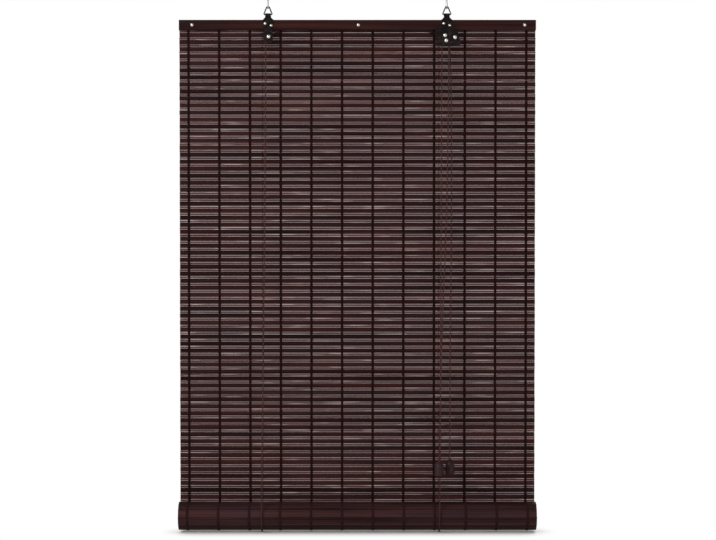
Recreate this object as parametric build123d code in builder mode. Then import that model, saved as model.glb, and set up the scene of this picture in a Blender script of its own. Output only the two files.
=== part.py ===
"""Bamboo roll up blind: head rail, woven slat mat, roll, lift cords, cord lock and ceiling hooks.

Millimetres. +Z is up, the front faces -Y, and the origin lies on the ceiling,
midway between the two screw hooks that carry the blind.
"""
from build123d import *
import math
import os

os.makedirs("parts", exist_ok=True)

# Mat: flat bamboo slats with a thin reed between each pair
blind_width = 600.0
slat_width = 8.0
slat_thickness = 1.8
slat_bevel = 0.5
reed_width = 3.0
reed_bevel = 0.6
weave_gap = 0.41
slat_count = 69

# Warp threads that bind the mat
warp_count = 12
warp_margin = 15.5
warp_width = 3.4
warp_thickness = 0.5
warp_tuck = 9.0
warp_stop_short = 7.0

# Head rail: two battens clamp the wide top slat of the mat
rail_height = 17.2
front_batten_thickness = 7.0
rear_batten_thickness = 4.5
batten_round = 1.2
top_slat_clear = 1.4

# Rail rivets
rail_rivet_inset = 20.4
rail_rivet_shift = 1.6
rail_rivet_radius = 1.3
rail_rivet_head_radius = 2.9
rail_rivet_head_height = 1.7
rail_rivet_tail_radius = 2.3
rail_rivet_tail_height = 0.8

# Roll of the unused mat, wound on a round rod
roll_radius = 24.85
turn_pitch = 2.3
rod_radius = 4.4
rod_clear = 0.3
roll_groove = 1.0
reed_sink = 0.15
seam_gap = 0.3
turn_step_deg = 18.0
ridged_turns = 1.1

# Ceiling hooks and wire rings
hook_spacing = 300.0
hook_wire_radius = 1.4
hook_thread_length = 16.0
hook_tip_length = 4.0
hook_shank_drop = 6.0
hook_bend_radius = 4.4
hook_jog_radius = 4.5
hook_lip_length = 3.2
ring_wire_radius = 1.1
ring_half_base = 7.4
ring_apex_height = 17.95
ring_apex_round = 2.8
ring_corner_round = 1.6
ring_rest_gap = 0.2

# Brackets of folded sheet steel
plate_thickness = 1.2
hinge_fit = 0.06
hinge_drop = 37.8
eye_width = 9.4
eye_lap_deg = 62.0
neck_length = 8.2
neck_half_width = 5.1
neck_foot = 3.8
shoulder_half_width = 9.6
shoulder_drop = 0.7
waist_half_width = 6.8
waist_rise = 2.2
cheek_half_width = 7.85
cheek_thickness = 1.0
cheek_rise = 1.4
cheek_drop = 21.2
cheek_round = 4.2
flange_margin = 4.0

# Bracket nails, driven into the front batten
nail_offset = 5.0
nail_upper_drop = 6.2
nail_lower_drop = 9.6
nail_radius = 1.0
nail_length = 5.6
nail_head_radius = 2.7
nail_head_height = 1.6

# Sheaves, axles and the axle rivets' heads
cord_radius = 1.0
cord_path_radius = 5.0
cord_play = 0.05
sheave_width = 3.0
sheave_rim_rise = 0.4
groove_floor_width = 2.1
groove_mouth_width = 2.4
side_play = 0.2
axle_radius = 1.6
axle_fit = 0.05
seat_fit = 0.02
axle_head_radius = 3.3
axle_head_height = 1.7
axle_tail_radius = 2.6
axle_tail_height = 0.8
left_axle_offset = 0.9
left_axle_drop = 11.3

# Cord lock
lock_left = 19.5
lock_right = 18.7
lock_rise = 1.6
lock_drop = 25.4
lock_corner = 2.4
lock_sweep = 9.0
sheave_axle_offset = 3.0
sheave_axle_drop = 9.4
post_set_in = 3.0
pinch_clear = 0.15
post_drop = 18.0
post_radius = 2.8
cam_axle_offset = 13.6
cam_axle_drop = 12.8
cam_radius = 8.05
cam_eccentric = 1.5
cam_eccentric_deg = 215.0
cam_tail_out = 4.5
cam_tail_down = 9.5
cam_tail_radius = 4.8
cam_side_play = 0.15

# Lift cords and pull cords
loop_clear = 0.3
run_gap = 0.3
left_loop_x = -160.0
right_loop_x = 137.4
rear_hole_depth = 10.0
rear_hole_fit = 0.1
under_rail_gap = 0.3
cross_lead = 10.0
cross_lead_lock = 22.0
cross_fleet = 22.0
pull_lead = 1.0
wrap_lead = 0.1

# Bends of the two pull cords, from below the lock down to the tassels
left_pull_bends = [
    (153.4, -4.5, -94.0),
    (150.6, -18.0, -332.0),
    (146.6, -25.0, -441.0),
    (140.4, -33.6, -585.0),
    (137.2, -42.0, -736.0),
    (136.0, -46.0, -777.2),
]
right_pull_bends = [
    (157.2, -1.2, -110.0),
    (158.4, -8.5, -332.0),
    (155.8, -16.0, -570.0),
    (154.8, -24.0, -777.2),
]
pull_straight = 2.0

# Bell shaped tassels on the pull cords
tassel_top_radius = 2.5
tassel_shoulder_radius = 5.3
tassel_mid_radius = 7.1
tassel_foot_radius = 8.0
tassel_height = 24.6
tassel_collar = 1.2
tassel_foot_band = 3.0
tassel_foot_bevel = 0.7
tassel_shoulder_share = 0.15
tassel_mid_share = 0.34
tassel_hole_depth = 6.0
tassel_hole_fit = 0.15
tassel_top_z = -783.0

# Cutters run past what they cut by this much, and a bend uses this share of the shorter run beside it
overrun = 2.0
easy_share = 0.45

# Levels and places that follow from the sizes above
period = slat_width + reed_width + 2 * weave_gap
bar_z = -hinge_drop
rail_top_z = bar_z - neck_length
rail_bottom_z = rail_top_z - rail_height
rail_middle_z = rail_bottom_z + rail_height / 2
mat_bottom_z = rail_bottom_z - slat_count * period

eye_inner = ring_wire_radius + hinge_fit
eye_outer = eye_inner + plate_thickness
plate_front_y = eye_inner
plate_back_y = eye_outer
front_batten_y = plate_back_y + front_batten_thickness / 2
mat_y = plate_back_y + front_batten_thickness + warp_thickness + slat_thickness / 2
mat_front_y = mat_y - slat_thickness / 2
mat_back_y = mat_y + slat_thickness / 2
rear_batten_y = mat_back_y + warp_thickness + rear_batten_thickness / 2
rail_rear_y = rear_batten_y + rear_batten_thickness / 2

roll_y = mat_back_y - roll_radius
roll_z = mat_bottom_z - seam_gap
loop_radius = roll_radius + loop_clear + cord_radius

rear_sheave_y = plate_front_y - side_play - sheave_width / 2
front_sheave_y = rear_sheave_y - sheave_width - side_play
cheek_back_y = plate_front_y - 2 * side_play - sheave_width
lock_front_back_y = plate_front_y - 3 * side_play - 2 * sheave_width
lock_front_y = lock_front_back_y - cheek_thickness
cheek_front_y = cheek_back_y - cheek_thickness

left_x = -hook_spacing / 2
right_x = hook_spacing / 2
left_axle_x = left_x + left_axle_offset
left_axle_z = rail_bottom_z - left_axle_drop
lock_bottom_z = rail_bottom_z - lock_drop
sheave_x = right_x - sheave_axle_offset
sheave_z = rail_bottom_z - sheave_axle_drop
post_x = sheave_x + cord_path_radius - post_set_in
post_z = rail_bottom_z - post_drop
pinch_x = post_x + post_radius + pinch_clear + cord_radius
cam_x = right_x + cam_axle_offset
cam_z = rail_bottom_z - cam_axle_drop
warp_pitch = (blind_width - 2 * warp_margin) / (warp_count - 1)


def save(piece, name):
    """Name a finished piece and write it as its own file."""
    piece.part.label = name
    export_step(piece.part, f"parts/{name}.step")


def front_plane(y):
    """Plane at depth y whose normal faces the viewer, with X to the right and Z up."""
    return Plane.XZ.offset(-y)


def corner_radii(points):
    """Largest easy radius at each corner of a cord's route."""
    radii = []
    for before, here, after in zip(points, points[1:], points[2:]):
        run_in = Vector(*here) - Vector(*before)
        run_out = Vector(*after) - Vector(*here)
        half_turn = math.radians(run_in.get_angle(run_out)) / 2
        radii.append(easy_share * min(run_in.length, run_out.length) / math.tan(half_turn))
    return radii


def cord_tube(name, points, radii=None):
    """Round cord along straight runs and tangent arcs, written as its own file."""
    with BuildPart() as tube:
        with BuildLine() as route:
            if len(points) == 2:
                Line(*points)
            else:
                FilletPolyline(*points, radius=radii or corner_radii(points))
        path = route.wires()[0]
        with BuildSketch(Plane(origin=path @ 0, z_dir=path % 0)):
            Circle(cord_radius)
        sweep(path=path)
    expected = math.pi * cord_radius**2 * path.length
    shown = [round(r, 1) for r in (radii or corner_radii(points))]
    volume_share = tube.part.volume / expected
    print(f"{name}: length {path.length:.1f}, volume {volume_share:.4f} of section x length, radii {shown}")
    save(tube, name)


def domed_pin(head_radius, head_height, shank_radius, shank_length, tail_radius=0.0, tail_height=0.0):
    """Rivet or nail about local Z: domed head above the origin, shank below, flat tail if any."""
    dome_radius = (head_radius**2 + head_height**2) / (2 * head_height)
    foot = -shank_length
    with BuildPart() as pin:
        with BuildSketch(Plane.XZ):
            with BuildLine():
                RadiusArc((0, head_height), (head_radius, 0), dome_radius)
                Polyline((head_radius, 0), (shank_radius, 0), (shank_radius, foot))
                if tail_radius:
                    Polyline((shank_radius, foot), (tail_radius, foot), (tail_radius, foot - tail_height))
                    Polyline((tail_radius, foot - tail_height), (0, foot - tail_height), (0, head_height))
                else:
                    Polyline((shank_radius, foot), (0, foot), (0, head_height))
            make_face()
        revolve(axis=Axis.Z)
    return pin.part


def pins_at(name, pin, places, y):
    """Like fasteners as one group, each with its head on the plane y and facing the viewer."""
    with BuildPart() as group:
        for x, z in places:
            with Locations(Plane(origin=(x, y, z), x_dir=(1, 0, 0), z_dir=(0, -1, 0))):
                add(pin)
    save(group, name)


# Ceiling hooks: screw shank, a jog to the rear and a round bend that carries the ring
ring_top_drop = ring_apex_round * (math.hypot(ring_half_base, ring_apex_height) / ring_half_base - 1)
ring_top_z = bar_z + ring_apex_height - ring_top_drop
bend_bottom_z = ring_top_z - ring_wire_radius - ring_rest_gap - hook_wire_radius
bend_z = bend_bottom_z + hook_bend_radius
jog_deg = math.degrees(math.acos(1 - hook_bend_radius / (2 * hook_jog_radius)))

for side, hook_x in (("left", left_x), ("right", right_x)):
    with BuildPart() as hook:
        with BuildLine(Plane.YZ.offset(hook_x)) as hook_route:
            shank = Line((0, 0), (0, -hook_shank_drop))
            jog_out = JernArc(shank @ 1, shank % 1, hook_jog_radius, jog_deg)
            jog_in = JernArc(jog_out @ 1, jog_out % 1, hook_jog_radius, -jog_deg)
            drop = Line(jog_in @ 1, (hook_bend_radius, bend_z))
            bend = JernArc(drop @ 1, drop % 1, hook_bend_radius, -180)
            Line(bend @ 1, bend @ 1 + bend % 1 * hook_lip_length)
        hook_path = hook_route.wires()[0]
        with BuildSketch(Plane(origin=hook_path @ 0, z_dir=hook_path % 0)):
            Circle(hook_wire_radius)
        sweep(path=hook_path)
        with BuildSketch(Plane.XY):
            with Locations((hook_x, 0)):
                Circle(hook_wire_radius)
        extrude(amount=hook_thread_length)
        tip_edge = hook.edges().filter_by(GeomType.CIRCLE).sort_by(Axis.Z)[-1]
        chamfer(tip_edge, length=hook_tip_length, length2=hook_wire_radius / 2)
    save(hook, f"hook_{side}")

    with BuildPart() as ring:
        with BuildLine(front_plane(0)) as ring_route:
            FilletPolyline(
                (hook_x - ring_half_base, bar_z),
                (hook_x + ring_half_base, bar_z),
                (hook_x, bar_z + ring_apex_height),
                radius=(ring_corner_round, ring_corner_round, ring_apex_round),
                close=True,
            )
        ring_path = ring_route.wires()[0]
        with BuildSketch(Plane(origin=ring_path @ 0, z_dir=ring_path % 0)):
            Circle(ring_wire_radius)
        sweep(path=ring_path)
    save(ring, f"ring_{side}")


# Brackets: a rolled eye on the ring's bar, a neck, and a plate on the front of the rail
def rolled_eye(bracket_x):
    """Sheet that rises behind the ring's bar and curls over it to the front."""
    lap = math.radians(180 + eye_lap_deg)
    inner_end = (eye_inner * math.cos(lap), bar_z + eye_inner * math.sin(lap))
    outer_end = (eye_outer * math.cos(lap), bar_z + eye_outer * math.sin(lap))
    with BuildSketch(Plane.YZ.offset(bracket_x - eye_width / 2)) as eye_section:
        with BuildLine():
            Polyline((eye_outer, bar_z), (eye_outer, bar_z - eye_outer))
            Polyline((eye_outer, bar_z - eye_outer), (eye_inner, bar_z - eye_outer), (eye_inner, bar_z))
            ThreePointArc((eye_inner, bar_z), (-eye_inner, bar_z), inner_end)
            Line(inner_end, outer_end)
            ThreePointArc(outer_end, (-eye_outer, bar_z), (eye_outer, bar_z))
        make_face()
    extrude(eye_section.sketch, amount=eye_width)


def upper_outline(bracket_x):
    """Half outline of a bracket above its lower body, from the eye down to the waist, both sides."""
    half = [
        (eye_width / 2, bar_z - eye_outer),
        (neck_half_width, bar_z - eye_outer),
        (neck_half_width, rail_top_z + neck_foot),
        (shoulder_half_width, rail_top_z - shoulder_drop),
        (waist_half_width, rail_bottom_z + waist_rise),
    ]
    right_side = [(bracket_x + x, z) for x, z in half]
    left_side = [(bracket_x - x, z) for x, z in reversed(half)]
    return left_side, right_side


def holes_through(places, radius, y_from, y_to):
    """Round holes along Y through whatever lies between the two depths."""
    with BuildSketch(front_plane(y_from)) as holes:
        with Locations(*places):
            Circle(radius)
    extrude(holes.sketch, amount=y_from - y_to, mode=Mode.SUBTRACT)


def nail_places(bracket_x):
    """Where the two nails of a bracket sit, one higher than the other."""
    upper = (bracket_x - nail_offset, rail_top_z - nail_upper_drop)
    lower = (bracket_x + nail_offset, rail_top_z - nail_lower_drop)
    return [upper, lower]


left_axle_place = [(left_axle_x, left_axle_z)]
lock_axle_places = [(sheave_x, sheave_z), (post_x, post_z), (cam_x, cam_z)]
rail_rivet_places = [
    (rail_rivet_shift - blind_width / 2 + rail_rivet_inset, rail_middle_z),
    (rail_rivet_shift, rail_middle_z),
    (rail_rivet_shift + blind_width / 2 - rail_rivet_inset, rail_middle_z),
]
all_nail_places = nail_places(left_x) + nail_places(right_x)
cheek_top_z = rail_bottom_z + cheek_rise
cheek_bottom_z = rail_bottom_z - cheek_drop

# Left bracket: plate, folded side flange and front cheek are one strip of steel
with BuildPart() as pulley_bracket:
    rolled_eye(left_x)
    left_side, right_side = upper_outline(left_x)
    with BuildSketch(front_plane(plate_back_y)):
        with BuildLine():
            Polyline(
                *left_side,
                *right_side,
                (left_x + cheek_half_width, rail_bottom_z),
                (left_x + cheek_half_width, cheek_bottom_z + cheek_round),
                (left_x + cheek_half_width - cheek_round, cheek_bottom_z),
                (left_x - cheek_half_width + cheek_round, cheek_bottom_z),
                (left_x - cheek_half_width, cheek_bottom_z + cheek_round),
                (left_x - cheek_half_width, rail_bottom_z),
                close=True,
            )
        make_face()
    extrude(amount=plate_thickness)
    with BuildSketch(front_plane(cheek_back_y)) as cheek_face:
        with Locations((left_x, (cheek_top_z + cheek_bottom_z) / 2)):
            Rectangle(2 * cheek_half_width, cheek_top_z - cheek_bottom_z)
        fillet(cheek_face.vertices().group_by(Axis.Y)[0], cheek_round)
        fillet(cheek_face.vertices().group_by(Axis.Y)[-1], cheek_thickness)
    extrude(amount=cheek_thickness)
    with BuildSketch(Plane.YZ.offset(left_x - cheek_half_width)):
        with BuildLine():
            Polyline(
                (plate_back_y, rail_bottom_z - side_play),
                (plate_back_y, cheek_bottom_z + flange_margin),
                (cheek_front_y, cheek_bottom_z + flange_margin),
                (cheek_front_y, rail_bottom_z - side_play),
                close=True,
            )
        make_face()
    extrude(amount=cheek_thickness)
    holes_through(left_axle_place, axle_radius + seat_fit, plate_back_y + overrun, cheek_front_y - overrun)
    holes_through(nail_places(left_x), nail_radius + seat_fit, plate_back_y + overrun, plate_front_y - overrun)
save(pulley_bracket, "pulley_bracket")


def lock_body():
    """Wide lower body of the cord lock, with a swept lower right corner."""
    left_edge = right_x - lock_left
    right_edge = right_x + lock_right
    top = rail_bottom_z + lock_rise
    with BuildLine() as outline:
        FilletPolyline(
            (left_edge, top),
            (left_edge, lock_bottom_z),
            (right_edge, lock_bottom_z),
            (right_edge, top),
            radius=(lock_corner, lock_corner, lock_sweep, lock_corner),
            close=True,
        )
    make_face(outline.edges())


with BuildPart() as lock_bracket:
    rolled_eye(right_x)
    left_side, right_side = upper_outline(right_x)
    with BuildSketch(front_plane(plate_back_y)):
        with BuildLine():
            Polyline(
                *left_side,
                *right_side,
                (right_x + waist_half_width, rail_bottom_z),
                (right_x - waist_half_width, rail_bottom_z),
                close=True,
            )
        make_face()
        lock_body()
    extrude(amount=plate_thickness)
    holes_through(lock_axle_places, axle_radius + seat_fit, plate_back_y + overrun, plate_front_y - overrun)
    holes_through(nail_places(right_x), nail_radius + seat_fit, plate_back_y + overrun, plate_front_y - overrun)
save(lock_bracket, "lock_bracket")

with BuildPart() as lock_front_plate:
    with BuildSketch(front_plane(lock_front_back_y)):
        lock_body()
    extrude(amount=cheek_thickness)
    holes_through(lock_axle_places, axle_radius + seat_fit, plate_back_y, lock_front_y - overrun)
save(lock_front_plate, "lock_front_plate")

# Nails and axle rivets
nail = domed_pin(nail_head_radius, nail_head_height, nail_radius, plate_thickness + nail_length)
pins_at("bracket_nails", nail, all_nail_places, plate_front_y)

left_axle = domed_pin(
    axle_head_radius,
    axle_head_height,
    axle_radius,
    plate_back_y - cheek_front_y,
    axle_tail_radius,
    axle_tail_height,
)
pins_at("pulley_axle", left_axle, left_axle_place, cheek_front_y)
lock_axle = domed_pin(
    axle_head_radius,
    axle_head_height,
    axle_radius,
    plate_back_y - lock_front_y,
    axle_tail_radius,
    axle_tail_height,
)
pins_at("lock_axles", lock_axle, lock_axle_places, lock_front_y)


def sheave(name, x, y, z):
    """Small grooved cord wheel with its axle along Y."""
    rim = cord_path_radius + sheave_rim_rise
    floor = cord_path_radius - cord_radius - cord_play
    bore = axle_radius + axle_fit
    with BuildPart() as wheel:
        with BuildSketch(Plane(origin=(x, y, z), x_dir=(1, 0, 0), z_dir=(0, 0, 1))) as section:
            with BuildLine():
                Polyline(
                    (bore, -sheave_width / 2),
                    (rim, -sheave_width / 2),
                    (rim, -groove_mouth_width / 2),
                    (floor, -groove_floor_width / 2),
                    (floor, groove_floor_width / 2),
                    (rim, groove_mouth_width / 2),
                    (rim, sheave_width / 2),
                    (bore, sheave_width / 2),
                    close=True,
                )
            make_face()
        revolve(axis=Axis((x, y, z), (0, 1, 0)))
    save(wheel, name)


sheave("left_pulley", left_axle_x, rear_sheave_y, left_axle_z)
sheave("lock_rear_sheave", sheave_x, rear_sheave_y, sheave_z)
sheave("lock_front_sheave", sheave_x, front_sheave_y, sheave_z)

# Pinch post: a sleeve on the lower rivet, between the two plates of the lock
with BuildPart() as pinch_post:
    with BuildSketch(front_plane(plate_front_y)):
        with Locations((post_x, post_z)):
            Circle(post_radius)
            Circle(axle_radius + seat_fit, mode=Mode.SUBTRACT)
    extrude(amount=plate_front_y - lock_front_back_y)
save(pinch_post, "pinch_post")

# Pinch cam: an eccentric disc with a heavy tail that swings it against the cords
cam_angle = math.radians(cam_eccentric_deg)
cam_disc = (cam_x + cam_eccentric * math.cos(cam_angle), cam_z + cam_eccentric * math.sin(cam_angle))
cam_tail = (cam_x + cam_tail_out, cam_z - cam_tail_down)
with BuildPart() as pinch_cam:
    with BuildSketch(front_plane(plate_front_y - cam_side_play)):
        with Locations(cam_disc):
            Circle(cam_radius)
        with Locations(cam_tail):
            Circle(cam_tail_radius)
        make_hull()
        with Locations((cam_x, cam_z)):
            Circle(axle_radius + axle_fit, mode=Mode.SUBTRACT)
    extrude(amount=plate_front_y - lock_front_back_y - 2 * cam_side_play)
save(pinch_cam, "pinch_cam")

# Head rail
with BuildPart() as front_batten:
    with BuildSketch(Plane.YZ.offset(-blind_width / 2)):
        with Locations((front_batten_y, rail_middle_z)):
            RectangleRounded(front_batten_thickness, rail_height, batten_round)
    extrude(amount=blind_width)
    batten_back_y = plate_back_y + front_batten_thickness
    holes_through(rail_rivet_places, rail_rivet_radius + seat_fit, batten_back_y + overrun, plate_front_y)
    holes_through(all_nail_places, nail_radius + seat_fit, plate_back_y + nail_length, plate_front_y)
save(front_batten, "front_batten")

cord_hole_places = [(left_loop_x, rear_batten_y), (right_loop_x, rear_batten_y)]
with BuildPart() as rear_batten:
    with BuildSketch(Plane.YZ.offset(-blind_width / 2)):
        with Locations((rear_batten_y, rail_middle_z)):
            RectangleRounded(rear_batten_thickness, rail_height, batten_round)
    extrude(amount=blind_width)
    holes_through(rail_rivet_places, rail_rivet_radius + seat_fit, rail_rear_y + overrun, mat_y)
    with BuildSketch(Plane.XY.offset(rail_bottom_z)):
        with Locations(*cord_hole_places):
            Circle(cord_radius + rear_hole_fit)
    extrude(amount=rear_hole_depth, mode=Mode.SUBTRACT)
save(rear_batten, "rear_batten")

rail_rivet = domed_pin(
    rail_rivet_head_radius,
    rail_rivet_head_height,
    rail_rivet_radius,
    rail_rear_y - plate_back_y,
    rail_rivet_tail_radius,
    rail_rivet_tail_height,
)
pins_at("rail_rivets", rail_rivet, rail_rivet_places, plate_back_y)

# Hanging mat: bevelled slats below the rail, a wide slat clamped in it, bound by the outer warps
slat_profile = [
    (slat_thickness / 2, -slat_width / 2),
    (slat_thickness / 2, slat_width / 2),
    (0, slat_width / 2),
    (-slat_thickness / 2, slat_width / 2 - slat_bevel),
    (-slat_thickness / 2, -slat_width / 2 + slat_bevel),
    (0, -slat_width / 2),
]
reed_profile = [
    (slat_thickness / 2, -reed_width / 2 + reed_bevel),
    (slat_thickness / 2, reed_width / 2 - reed_bevel),
    (0, reed_width / 2),
    (-slat_thickness / 2, reed_width / 2 - reed_bevel),
    (-slat_thickness / 2, -reed_width / 2 + reed_bevel),
    (0, -reed_width / 2),
]
first_reed_z = rail_bottom_z - weave_gap - reed_width / 2
first_slat_z = first_reed_z - reed_width / 2 - weave_gap - slat_width / 2
reed_centres = [(mat_y, first_reed_z - period * row) for row in range(slat_count)]
slat_centres = [(mat_y, first_slat_z - period * row) for row in range(slat_count)]
warp_top_z = rail_bottom_z + warp_tuck
warp_bottom_z = mat_bottom_z + warp_stop_short
warp_middle_z = (warp_top_z + warp_bottom_z) / 2
warp_x = [-blind_width / 2 + warp_margin + warp_pitch * column for column in range(warp_count)]
warp_depths = [mat_front_y - warp_thickness / 2, mat_back_y + warp_thickness / 2]
top_slat_height = rail_height - 2 * top_slat_clear

with BuildPart() as slat_sheet:
    with BuildSketch(Plane.YZ.offset(-blind_width / 2)):
        with Locations(*slat_centres):
            Polygon(*slat_profile, align=None)
        with Locations((mat_y, rail_middle_z)):
            Rectangle(slat_thickness, top_slat_height)
    extrude(amount=blind_width)
    with Locations(*[(x, y, warp_middle_z) for x in (warp_x[0], warp_x[-1]) for y in warp_depths]):
        Box(warp_width, warp_thickness, warp_top_z - warp_bottom_z)
    holes_through(rail_rivet_places, rail_rivet_radius + seat_fit, mat_back_y, mat_front_y)
save(slat_sheet, "slat_sheet")

with BuildPart() as reeds:
    with BuildSketch(Plane.YZ.offset(-blind_width / 2)):
        with Locations(*reed_centres):
            Polygon(*reed_profile, align=None)
    extrude(amount=blind_width)
save(reeds, "reeds")

for column in range(1, warp_count - 1):
    with BuildPart() as warp:
        with Locations(*[(warp_x[column], y, warp_middle_z) for y in warp_depths]):
            Box(warp_width, warp_thickness, warp_top_z - warp_bottom_z)
    save(warp, f"warp_thread_{column + 1:02d}")

# Roll: the rest of the mat in one spiral, with slats and reeds as ridges on its outer turn
turns = (roll_radius - slat_thickness - rod_radius - rod_clear) / turn_pitch


def spiral_point(angle, rise):
    """Point on the mat's middle line at a winding angle, raised outwards by rise."""
    radius = roll_radius - slat_thickness / 2 - turn_pitch * angle / (2 * math.pi) + rise
    return (roll_y + radius * math.cos(angle), roll_z - radius * math.sin(angle))


outer_face = slat_thickness / 2
ridged_angle = 2 * math.pi * ridged_turns
outer_points = []
angle = 0.0
while angle < ridged_angle:
    middle_radius = roll_radius - slat_thickness / 2 - turn_pitch * angle / (2 * math.pi)
    per_mm = 1 / middle_radius
    slat_end = angle + slat_width * per_mm
    reed_start = slat_end + weave_gap * per_mm
    reed_end = reed_start + reed_width * per_mm
    outer_points.append(spiral_point(angle, outer_face))
    outer_points.append(spiral_point((angle + slat_end) / 2, outer_face))
    outer_points.append(spiral_point(slat_end, outer_face))
    outer_points.append(spiral_point((slat_end + reed_start) / 2, outer_face - roll_groove))
    outer_points.append(spiral_point(reed_start, outer_face - reed_sink))
    outer_points.append(spiral_point(reed_end, outer_face - reed_sink))
    angle = reed_end + weave_gap * per_mm
    outer_points.append(spiral_point((reed_end + angle) / 2, outer_face - roll_groove))
turn_step = math.radians(turn_step_deg)
last_angle = 2 * math.pi * turns
plain_steps = math.ceil((last_angle - angle) / turn_step)
plain_angles = [angle + (last_angle - angle) * step / plain_steps for step in range(plain_steps + 1)]
outer_points += [spiral_point(a, outer_face) for a in plain_angles]
inner_steps = math.ceil(last_angle / turn_step)
inner_angles = [last_angle * (1 - step / inner_steps) for step in range(inner_steps + 1)]
inner_points = [spiral_point(a, -outer_face) for a in inner_angles]

with BuildPart() as rolled_mat:
    with BuildSketch(Plane.YZ.offset(-blind_width / 2)):
        with BuildLine():
            Polyline(*outer_points, *inner_points, close=True)
        make_face()
    extrude(amount=blind_width)
save(rolled_mat, "rolled_mat")
rolled_length = rolled_mat.part.volume / blind_width / slat_thickness
print(f"mat in the roll: about {rolled_length:.0f} mm in {turns:.2f} turns")

with BuildPart() as bottom_rod:
    with BuildSketch(Plane.YZ.offset(-blind_width / 2)):
        with Locations((roll_y, roll_z)):
            Circle(rod_radius)
    extrude(amount=blind_width)
save(bottom_rod, "bottom_rod")

# Lift cords: down the front, under the roll, up the back into the rear batten
loop_front_y = roll_y - loop_radius
loop_back_y = roll_y + loop_radius
for side, loop_x in (("left", left_loop_x), ("right", right_loop_x)):
    with BuildPart() as loop:
        with BuildLine(Plane.YZ.offset(loop_x)) as loop_route:
            CenterArc((roll_y, roll_z), loop_radius, 180, 180)
        loop_path = loop_route.wires()[0]
        with BuildSketch(Plane(origin=loop_path @ 0, z_dir=loop_path % 0)):
            Circle(cord_radius)
        sweep(path=loop_path)
    save(loop, f"{side}_cord_loop")
    rear_top_z = rail_bottom_z + rear_hole_depth - run_gap
    cord_tube(
        f"{side}_rear_cord",
        [(loop_x, loop_back_y, roll_z + run_gap), (loop_x, rear_batten_y, rear_top_z)],
    )

cord_tube(
    "left_front_cord",
    [
        (left_axle_x - cord_path_radius, rear_sheave_y, left_axle_z - run_gap),
        (left_loop_x, loop_front_y, roll_z + run_gap),
    ],
)
cord_tube(
    "right_front_cord",
    [
        (sheave_x - cord_path_radius, front_sheave_y, sheave_z - run_gap),
        (right_loop_x, loop_front_y, roll_z + run_gap),
    ],
)

# Left cord: over the left pulley, tucked up under the front batten, then over the rear lock sheave
under_rail_z = rail_bottom_z - under_rail_gap - cord_radius
left_over_z = left_axle_z + cord_path_radius
lock_over_z = sheave_z + cord_path_radius
cross_points = [
    (left_axle_x - cord_path_radius, rear_sheave_y, left_axle_z - wrap_lead),
    (left_axle_x - cord_path_radius, rear_sheave_y, left_over_z),
    (left_axle_x + cross_lead, rear_sheave_y, left_over_z),
    (left_axle_x + cross_lead + cross_fleet, front_batten_y, under_rail_z),
    (sheave_x - cross_lead_lock - cross_fleet, front_batten_y, under_rail_z),
    (sheave_x - cross_lead_lock, rear_sheave_y, lock_over_z),
    (sheave_x + cord_path_radius, rear_sheave_y, lock_over_z),
    (sheave_x + cord_path_radius, rear_sheave_y, sheave_z - pull_lead),
]
cross_radii = corner_radii(cross_points)
cross_radii[0] = cord_path_radius
cross_radii[-1] = cord_path_radius
cord_tube("cross_cord", cross_points, cross_radii)

# Right cord: half a turn over the front lock sheave
with BuildPart() as lock_wrap:
    with BuildLine(front_plane(front_sheave_y)) as wrap_route:
        over = CenterArc((sheave_x, sheave_z), cord_path_radius, 180, -180)
        Line(over @ 1, over @ 1 + over % 1 * pull_lead)
    wrap_path = wrap_route.wires()[0]
    with BuildSketch(Plane(origin=wrap_path @ 0, z_dir=wrap_path % 0)):
        Circle(cord_radius)
    sweep(path=wrap_path)
save(lock_wrap, "lock_wrap_cord")


# Pull cords: between post and cam, then hanging free to a tassel each
def pull_cord(name, start_y, bends):
    """Cord that leaves a lock sheave, passes the pinch and ends in a tassel."""
    start_z = sheave_z - pull_lead - run_gap
    pull_x = sheave_x + cord_path_radius
    last_x, last_y, last_z = bends[-1]
    end_z = tassel_top_z - tassel_hole_depth + run_gap
    start = [
        (pull_x, start_y, start_z),
        (pull_x, start_y, start_z - pull_straight),
        (pinch_x, start_y, post_z),
    ]
    cord_tube(name, start + bends + [(last_x, last_y, end_z)])


pull_cord("left_pull_cord", front_sheave_y, left_pull_bends)
pull_cord("right_pull_cord", rear_sheave_y, right_pull_bends)

# Tassels: turned wooden bells with a blind hole for the knotted cord
for side, bends in (("left", left_pull_bends), ("right", right_pull_bends)):
    tassel_x, tassel_y, _ = bends[-1]
    hole_radius = cord_radius + tassel_hole_fit
    shoulder_z = tassel_top_z - tassel_height * tassel_shoulder_share
    mid_z = tassel_top_z - tassel_height * tassel_mid_share
    foot_z = tassel_top_z - tassel_height
    with BuildPart() as tassel:
        with BuildSketch(Plane(origin=(tassel_x, tassel_y, 0), x_dir=(1, 0, 0), z_dir=(0, -1, 0))):
            with BuildLine():
                Polyline(
                    (0, tassel_top_z - tassel_hole_depth),
                    (hole_radius, tassel_top_z - tassel_hole_depth),
                    (hole_radius, tassel_top_z),
                    (tassel_top_radius, tassel_top_z),
                    (tassel_top_radius, tassel_top_z - tassel_collar),
                    (tassel_shoulder_radius, shoulder_z),
                    (tassel_mid_radius, mid_z),
                    (tassel_foot_radius, foot_z + tassel_foot_band),
                    (tassel_foot_radius, foot_z + tassel_foot_bevel),
                    (tassel_foot_radius - tassel_foot_bevel, foot_z),
                    (0, foot_z),
                    close=True,
                )
            make_face()
        revolve(axis=Axis((tassel_x, tassel_y, 0), (0, 0, 1)))
    save(tassel, f"{side}_tassel")
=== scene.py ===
"""Bamboo roll up blind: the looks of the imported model.

Run as a script inside Blender. Every piece is in metres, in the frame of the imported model:
+Z up, front towards -Y, origin on the ceiling midway between the two hooks.
"""
import math

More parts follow.
